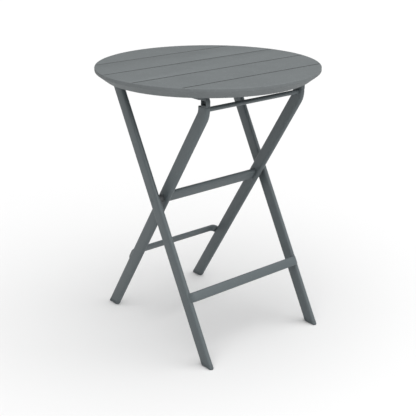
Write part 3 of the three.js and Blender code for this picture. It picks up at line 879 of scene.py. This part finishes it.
# ---- top hinge ----
class BISTRO_OT_knuckles(Operator):
    """Moulds the knuckles that stand in the inner legs' ends and carry the top"""
    bl_idname = "bistro.knuckles"
    bl_label = "Hinge knuckles"

    def execute(self, context):
        knuckle, sizes = context.scene.bistro_knuckle, context.scene.bistro_frame
        front, rear = KNUCKLE.low.y, knuckle.rear
        low = KNUCKLE.low.z + knuckle.stem
        inside, outside = KNUCKLE.low.x, KNUCKLE.high.x
        body = self.sliced_body(knuckle, front, rear, low)
        soften(body, ROUNDS["knuckle"], 3, 50)

        peg_thick = INNER_LEG.size.x - 2 * (sizes.wall + GAP)
        foot = Vector((INNER_LEG.centre.x, (front + rear) / 2, KNUCKLE.low.z))
        peg = oval_ring("peg", foot, Z_AXIS, Y_AXIS, peg_thick, rear - front - 2 * GAP, fill="NGON")
        extrude(Z_AXIS * (knuckle.stem + MM))
        tidy_shell()
        leave_edit()
        combine(body, peg, "UNION")

        floor = low + knuckle.pocket_floor
        pocket = block("pocket", (outside - knuckle.pocket_deep, front + knuckle.pocket_wall, floor),
                       (outside + MM, rear - knuckle.pocket_wall, floor + knuckle.pocket_high))
        soften(pocket, ROUNDS["pocket"], 3)
        combine(body, pocket, "DIFFERENCE")
        bore = rod("bore", (inside - MM, HINGE.y, HINGE.z), (outside + MM, HINGE.y, HINGE.z),
                   BORES["bolt"])
        combine(body, bore, "DIFFERENCE")
        edit(body)
        tidy_shell()
        leave_edit()
        finish_pair(body, "hinge_knuckle", "inner_frame", "fitting_plastic", smooth=30)
        return {"FINISHED"}

    def sliced_body(self, knuckle, front, rear, low):
        """A block drawn up slice by slice: straight to its chin, then leaning back into a round crown."""
        radius = KNUCKLE.high.z - HINGE.z
        chin = low + knuckle.chin
        to_crown = Vector((HINGE.y - front, HINGE.z - chin))
        lean = math.atan2(to_crown.y, to_crown.x) + math.asin(radius / to_crown.length)
        body = block("hinge_knuckle_right_piece", (KNUCKLE.low.x, front, low), (KNUCKLE.high.x, rear, chin))
        edit(body)
        pick(body, "FACE", lambda face: face.normal.z > 0.9)
        z, lower_front = chin, front
        for turn in range(-12, 73, 12):
            rise = radius * math.sin(math.radians(turn))
            half = radius * math.cos(math.radians(turn))
            touched = math.degrees(lean) <= 90 - turn
            leaning = lower_front + (HINGE.z + rise - chin) / math.tan(lean)
            next_front = leaning if touched else HINGE.y - half
            next_rear = HINGE.y + half
            extrude(Z_AXIS * (HINGE.z + rise - z))
            z = HINGE.z + rise
            widen((1, (next_rear - next_front) / (rear - front), 1), (0, front, z))
            bpy.ops.transform.translate(value=(0, next_front - front, 0))
            front, rear = next_front, next_rear
        tidy_shell()
        leave_edit()
        return body


class BISTRO_OT_hinge_hardware(Operator):
    """Turns the hinge bolts with socket heads and the washers, and finishes the nuts in the rails"""
    bl_idname = "bistro.hinge_hardware"
    bl_label = "Hinge bolts"

    def execute(self, context):
        room = Room("hinge_washer_right")
        washer = ring_about_x("hinge_washer_right_piece", HINGE.y, HINGE.z, room.low.x, room.high.x,
                              room.size.z / 2, BORES["bolt"], rounding=0)
        finish_pair(washer, "hinge_washer", "table_top", "nylon")

        room = Room("hinge_bolt_right")
        fasteners = context.scene.bistro_fasteners
        head, head_high, shank = room.size.z / 2, fasteners.bolt_head_high, fasteners.bolt_shank
        place = [Vector((x, HINGE.y, HINGE.z)) for x in (room.low.x, room.low.x + head_high, room.high.x)]
        bolt = rod("hinge_bolt_right_piece", place[0], place[1], head)
        soften(bolt, ROUNDS["bolt"], 3)
        combine(bolt, rod("shank", place[1] - X_AXIS * MM, place[2], shank), "UNION")
        socket = rod("socket", place[0] - X_AXIS * MM, place[0] + X_AXIS * fasteners.socket_deep,
                     fasteners.socket, 6)
        combine(bolt, socket, "DIFFERENCE")
        finish_pair(bolt, "hinge_bolt", "table_top", "plated_steel")
        finish_carried("hinge_nut", "plated_steel")
        return {"FINISHED"}


# ---- rails, caps and catches ----
def screw_places(kind, count):
    return [Room(f"{kind}_screw_right_{number + 1}") for number in range(count)]


class BISTRO_OT_rails(Operator):
    """Cuts the two rails under the top from rectangular tube and drills them"""
    bl_idname = "bistro.rails"
    bl_label = "Rails"

    def execute(self, context):
        room = Room("rail_right")
        rail = block("rail_right_piece", room.low, room.high)
        soften(rail, ROUNDS["rail"], 4)
        edit(rail)
        inset = 2 * MM
        for y, normal in ((room.low.y + inset, 1), (room.high.y - inset, -1)):
            bpy.ops.mesh.select_all(action="SELECT")
            bpy.ops.mesh.bisect(plane_co=(0, y, 0), plane_no=(0, normal, 0), clear_inner=True)
        for y, step in ((room.low.y + inset, -inset), (room.high.y - inset, inset)):
            pick(rail, "EDGE", lambda edge: all(abs(vert.co.y - y) < TOUCHING for vert in edge.verts))
            extrude(Y_AXIS * step)
        leave_edit()
        hollow(rail, RAIL_WALL)
        fasteners = context.scene.bistro_fasteners
        hole = fasteners.shank + fasteners.clearance
        past_lower_wall = 5 * MM
        for kind, count, stop in (("rail", 3, room.high.z + MM), ("catch", 2, room.low.z + past_lower_wall)):
            for screw in screw_places(kind, count):
                centre = Vector((screw.centre.x, screw.centre.y, 0))
                drill = rod("drill", centre + Z_AXIS * (room.low.z - MM), centre + Z_AXIS * stop, hole, 24)
                combine(rail, drill, "DIFFERENCE")
        axle = rod("axle", (room.low.x - MM, HINGE.y, HINGE.z), (room.centre.x, HINGE.y, HINGE.z),
                   BORES["rail"])
        combine(rail, axle, "DIFFERENCE")
        finish_pair(rail, "rail", "table_top", "frame_paint")
        return {"FINISHED"}


class BISTRO_OT_rail_caps(Operator):
    """Closes the rails' ends with plugs that have softly rounded heads"""
    bl_idname = "bistro.rail_caps"
    bl_label = "Rail caps"

    def execute(self, context):
        rail = Room("rail_right")
        skin = Vector((RAIL_WALL + GAP, 0, RAIL_WALL + GAP))
        plug_deep = 3 * MM
        for end, face, rail_end in (("front", -1, rail.low.y), ("rear", 1, rail.high.y)):
            room = Room(f"rail_cap_{end}_right")
            head_y = sorted((rail_end + face * GAP, room.low.y if face < 0 else room.high.y))
            cap = block(f"rail_cap_{end}_right_piece", (room.low.x, head_y[0], room.low.z),
                        (room.high.x, head_y[1], room.high.z))
            soften(cap, ROUNDS["cap"], 3)
            stem_y = sorted((rail_end - face * plug_deep, rail_end + face * MM))
            stem = block("stem", Vector((room.low.x, stem_y[0], room.low.z)) + skin,
                         Vector((room.high.x, stem_y[1], room.high.z)) - skin)
            combine(cap, stem, "UNION")
            finish_pair(cap, f"rail_cap_{end}", "table_top", "fitting_plastic")
        return {"FINISHED"}


class BISTRO_OT_catches(Operator):
    """Moulds the catches that the crossbar lies in, with a lip behind it and sunk screw seats"""
    bl_idname = "bistro.catches"
    bl_label = "Catches"

    def execute(self, context):
        room = Room("catch_right")
        radius = CROSSBAR.size.z / 2
        roof = CROSSBAR.centre.z + radius + GAP
        lip_grip, play = 4 * MM, 0.1 * MM
        lip_front = CROSSBAR.centre.y + radius - lip_grip
        catch = block("catch_right_piece", (room.low.x, room.low.y, roof), room.high)
        lip = block("lip", (room.low.x, lip_front, room.low.z), room.high)
        combine(catch, lip, "UNION")
        side = X_AXIS * room.size.x
        bar = Vector((room.centre.x, CROSSBAR.centre.y, CROSSBAR.centre.z))
        combine(catch, rod("seat", bar - side, bar + side, radius + GAP, 64), "DIFFERENCE")
        soften(catch, ROUNDS["catch"], 2, 50)
        fasteners = context.scene.bistro_fasteners
        hole = fasteners.shank + fasteners.clearance
        for screw in screw_places("catch", 2):
            centre = Vector((screw.centre.x, screw.centre.y, 0))
            head_seat = screw.low.z + fasteners.head_high + play
            for radius_here, high in ((hole, room.high.z + MM), (fasteners.seat, head_seat)):
                start = centre + Z_AXIS * (room.low.z - MM)
                tool = rod("drill", start, centre + Z_AXIS * high, radius_here, 32)
                combine(catch, tool, "DIFFERENCE")
        finish_pair(catch, "catch", "table_top", "fitting_plastic")
        return {"FINISHED"}


# ---- screws ----
class BISTRO_OT_screws(Operator):
    """Turns one long and one short pan-head screw with a cross recess, and copies them to their places"""
    bl_idname = "bistro.screws"
    bl_label = "Screws"

    def execute(self, context):
        for kind, count in (("rail", 3), ("catch", 2)):
            model = self.screw(kind, Room(f"{kind}_screw_right_1"))
            first = Room(f"{kind}_screw_right_1").centre
            for side, _ in SIDES:
                for number in range(1, count + 1):
                    node_name = f"{kind}_screw_{side}_{number}"
                    copied = copy_piece(model, f"{node_name}_piece", Room(node_name).centre - first)
                    finish_piece(copied, "table_top", "plated_steel", [node_name])
            bpy.data.objects.remove(model)
        return {"FINISHED"}

    def screw(self, kind, room):
        fasteners = bpy.context.scene.bistro_fasteners
        head, head_high, shank = room.size.y / 2, fasteners.head_high, fasteners.shank
        place = Vector((room.centre.x, room.centre.y, 0))
        low, seat, tip = room.low.z, room.low.z + head_high, room.high.z
        crown = 1.1 * head
        piece = oval_ring(f"{kind}_screw", place + Z_AXIS * low, Z_AXIS, Y_AXIS, crown, crown, 32, "NGON")
        for height, radius in PAN_PROFILE:
            grown = low + height * MM
            extrude(Z_AXIS * (grown - self.top_of(piece)))
            self.scale_to(piece, radius * head, place + Z_AXIS * grown)
        extrude(Z_AXIS * (seat - self.top_of(piece)))
        extrude(Vector((0, 0, 0)))
        self.scale_to(piece, shank, place + Z_AXIS * seat)
        extrude(Z_AXIS * (tip - seat - fasteners.tip))
        extrude(Z_AXIS * fasteners.tip)
        blunt = 0.4 * shank
        self.scale_to(piece, blunt, place + Z_AXIS * tip)
        tidy_shell()
        leave_edit()
        arm, slot_wide, slot_deep = 0.5 * head, 0.45 * MM, 1.2 * MM
        for reach in (Vector((arm, slot_wide, 0)), Vector((slot_wide, arm, 0))):
            tool = block("cross", place - reach + Z_AXIS * (low - MM),
                         place + reach + Z_AXIS * (low + slot_deep))
            combine(piece, tool, "DIFFERENCE")
        return piece

    def top_of(self, piece):
        mesh = bmesh.from_edit_mesh(piece.data)
        return max(vert.co.z for vert in mesh.verts if vert.select)

    def scale_to(self, piece, radius, centre):
        mesh = bmesh.from_edit_mesh(piece.data)
        now = max((vert.co - centre).length for vert in mesh.verts if vert.select)
        widen((radius / now, radius / now, 1), centre)


# ---- top ----
class BISTRO_OT_top(Operator):
    """Moulds the round top: its rim, its grooves between planks, and the ribs under it"""
    bl_idname = "bistro.top"
    bl_label = "Top"

    def execute(self, context):
        sizes = context.scene.bistro_top
        top = self.rimmed_disc(sizes)
        for n in (-1.5, -0.5, 0.5, 1.5):
            combine(top, self.groove(n * sizes.plank_pitch, sizes), "DIFFERENCE")
        for tool in self.underside(sizes):
            combine(top, tool, "UNION")
        pilot, past_tip, above_rim = 2.5 * MM, 0.5 * MM, 10 * MM
        for room in screw_places("rail", 3):
            for side in (-1, 1):
                centre = Vector((side * room.centre.x, room.centre.y, 0))
                drill = rod("drill", centre + Z_AXIS * (TOP.low.z + above_rim),
                            centre + Z_AXIS * (room.high.z + past_tip), pilot, 24)
                combine(top, drill, "DIFFERENCE")
        finish_piece(top, "table_top", "top_resin", ["top_panel"], smooth=32)
        return {"FINISHED"}

    def rimmed_disc(self, sizes):
        """A round plate whose rim is drawn ring by ring, from the upper face round to the underside."""
        clear_selection()
        radius, high, low = TOP.size.x / 2, TOP.high.z, TOP.low.z
        round_ = sizes.edge_round
        band_low = high - sizes.band
        corner, lip = 1.2 * MM, 1 * MM
        under = high - sizes.plate
        rings = []
        for step in range(6):
            angle = math.radians(90 * step / 5)
            rings.append((radius - round_ + round_ * math.sin(angle),
                          high - round_ + round_ * math.cos(angle)))
        rings += [(radius, band_low + corner), (radius - 0.3 * corner, band_low),
                  (radius - corner, band_low - 0.75 * corner)]
        outer_low = (sizes.bottom_radius, low + 0.6 * lip)
        rings += [outer_low, (sizes.bottom_radius - 0.35 * lip, low + 0.12 * lip),
                  (sizes.bottom_radius - lip, low)]
        inner = sizes.bottom_radius - sizes.rim_wall
        shoulder, fillet = radius - 2.4 * sizes.rim_wall, 3 * MM
        rings += [(inner + lip, low), (inner + 0.3 * lip, low + 0.3 * lip), (inner, low + lip),
                  (shoulder - 2 * MM, under - fillet), (shoulder - fillet, under)]
        bpy.ops.mesh.primitive_circle_add(vertices=sizes.segments, radius=rings[0][0], fill_type="NGON",
                                          location=(0, 0, rings[0][1]))
        top = settle("top_panel_piece")
        edit(top)
        for (here, z), (there, next_z) in zip(rings, rings[1:]):
            extrude(Z_AXIS * (next_z - z))
            widen((there / here, there / here, 1), (0, 0, next_z))
        tidy_shell()
        leave_edit()
        return top

    def groove(self, y, sizes):
        """A cutter that stops just inside the rim's edge, with a rounded floor and a flared mouth."""
        half = sizes.groove_width / 2
        reach = math.sqrt((TOP.size.x / 2 - sizes.groove_lip) ** 2 - (abs(y) + half) ** 2)
        floor = TOP.high.z - sizes.groove_depth
        mouth, taper, flare = 0.3 * MM, 0.4 * MM, 0.1 * MM
        floor_half = half - taper
        cutter = block("groove", (-reach, y - floor_half, floor),
                       (reach, y + floor_half, TOP.high.z - mouth))
        edit(cutter)
        pick(cutter, "FACE", lambda face: face.normal.z > 0.9)
        extrude(Z_AXIS * mouth)
        widen((1, (half + flare) / floor_half, 1), (0, y, TOP.high.z))
        extrude(Z_AXIS * MM)
        pick(cutter, "EDGE", lambda edge: all(vert.co.z < floor + TOUCHING for vert in edge.verts)
             and abs(edge.verts[0].co.y - edge.verts[1].co.y) < TOUCHING)
        bpy.ops.mesh.bevel(offset=ROUNDS["groove"], segments=3)
        tidy_shell()
        leave_edit()
        return cutter

    def underside(self, sizes):
        """The ribs under the plate and the strips that the rails are screwed to."""
        under = TOP.high.z - sizes.plate
        low = under - sizes.rib_deep
        half = sizes.rib_thick / 2
        into, clear_of_edge = 1.5 * MM, 14 * MM
        tools = []
        for n in range(-4, 5):
            y = n * sizes.rib_pitch
            tools.append(block("rib", (-sizes.rib_reach - half, y - half, low),
                               (sizes.rib_reach + half, y + half, under + into)))
        inside_rim = TOP.size.x / 2 - clear_of_edge
        for n in range(-2, 3):
            x = n * sizes.rib_pitch_x
            reach = math.sqrt(inside_rim ** 2 - x ** 2)
            tools.append(block("rib", (x - half, -reach, low), (x + half, reach, under + into)))
        rail = Room("rail_right")
        for side in (-1, 1):
            across = sorted((side * rail.low.x, side * rail.high.x))
            tools.append(block("strip", (across[0], rail.low.y, rail.high.z + GAP),
                               (across[1], rail.high.y, under + into)))
        return tools


# ---- stage ----
class BISTRO_OT_stage(Operator):
    """Lays the pale floor, sets the soft light and places the camera"""
    bl_idname = "bistro.stage"
    bl_label = "Stage"

    def execute(self, context):
        stage = context.scene.bistro_stage
        self.floor()
        self.light(stage)
        self.camera(stage)
        return {"FINISHED"}

    def floor(self):
        clear_selection()
        bpy.ops.mesh.primitive_plane_add(size=80, location=(0, 0, 0))
        floor = settle("floor")
        material = bpy.data.materials.new("Pale floor")
        material.use_nodes = True
        shader = material.node_tree.nodes["Principled BSDF"]
        shader.inputs["Base Color"].default_value = (*scene_colours().floor, 1)
        shader.inputs["Roughness"].default_value = 1
        shader.inputs["Specular IOR Level"].default_value = 0
        floor.data.materials.append(material)

    def light(self, stage):
        world = bpy.data.worlds.new("Room light")
        world.use_nodes = True
        background = world.node_tree.nodes["Background"]
        background.inputs["Color"].default_value = (1, 1, 1, 1)
        background.inputs["Strength"].default_value = stage.ambient
        bpy.context.scene.world = world
        bpy.ops.object.light_add(type="SUN", location=(0, 0, 3), rotation=(stage.lean, 0, 0))
        light = bpy.context.object
        light.name = "overhead_light"
        light.data.energy = stage.overhead
        light.data.angle = stage.spread

    def camera(self, stage):
        back = Vector((math.sin(stage.azimuth) * math.cos(stage.elevation),
                       -math.cos(stage.azimuth) * math.cos(stage.elevation), math.sin(stage.elevation)))
        target = Vector((-0.0699, -0.083, TOP.high.z * 0.5054))
        bpy.ops.object.camera_add(location=target + back * stage.distance)
        camera = bpy.context.object
        camera.name = "camera"
        camera.rotation_mode = "QUATERNION"
        camera.rotation_quaternion = (-back).to_track_quat("-Z", "Y")
        camera.data.lens = stage.lens
        camera.data.sensor_width = 36
        camera.data.clip_start = 0.05
        camera.data.clip_end = 200
        bpy.context.scene.camera = camera
        bpy.context.scene.view_settings.view_transform = "Standard"


OPERATORS = (
    BISTRO_OT_top, BISTRO_OT_legs, BISTRO_OT_feet, BISTRO_OT_leg_caps, BISTRO_OT_bow_bars,
    BISTRO_OT_round_bars, BISTRO_OT_mid_bar, BISTRO_OT_pivots, BISTRO_OT_knuckles,
    BISTRO_OT_hinge_hardware, BISTRO_OT_rails, BISTRO_OT_rail_caps, BISTRO_OT_catches,
    BISTRO_OT_screws, BISTRO_OT_stage,
)


class BISTRO_PT_pieces(Panel):
    """Lists the table's pieces in the order they are made"""
    bl_idname = "BISTRO_PT_pieces"
    bl_label = "Folding Bistro Table"
    bl_space_type = "VIEW_3D"
    bl_region_type = "UI"
    bl_category = "Table"

    def draw(self, context):
        for operator in OPERATORS:
            self.layout.operator(operator.bl_idname, text=operator.bl_label)


def register():
    for name, group in GROUPS.items():
        bpy.utils.register_class(group)
        setattr(bpy.types.Scene, name, PointerProperty(type=group))
    for each in (*OPERATORS, BISTRO_PT_pieces):
        bpy.utils.register_class(each)


def unregister():
    for each in (BISTRO_PT_pieces, *reversed(OPERATORS)):
        bpy.utils.unregister_class(each)
    for name, group in GROUPS.items():
        delattr(bpy.types.Scene, name)
        bpy.utils.unregister_class(group)


def main():
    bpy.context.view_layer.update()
    register()
    for operator in OPERATORS:
        family, name = operator.bl_idname.split(".")
        getattr(getattr(bpy.ops, family), name)()


if __name__ == "__main__":
    main()
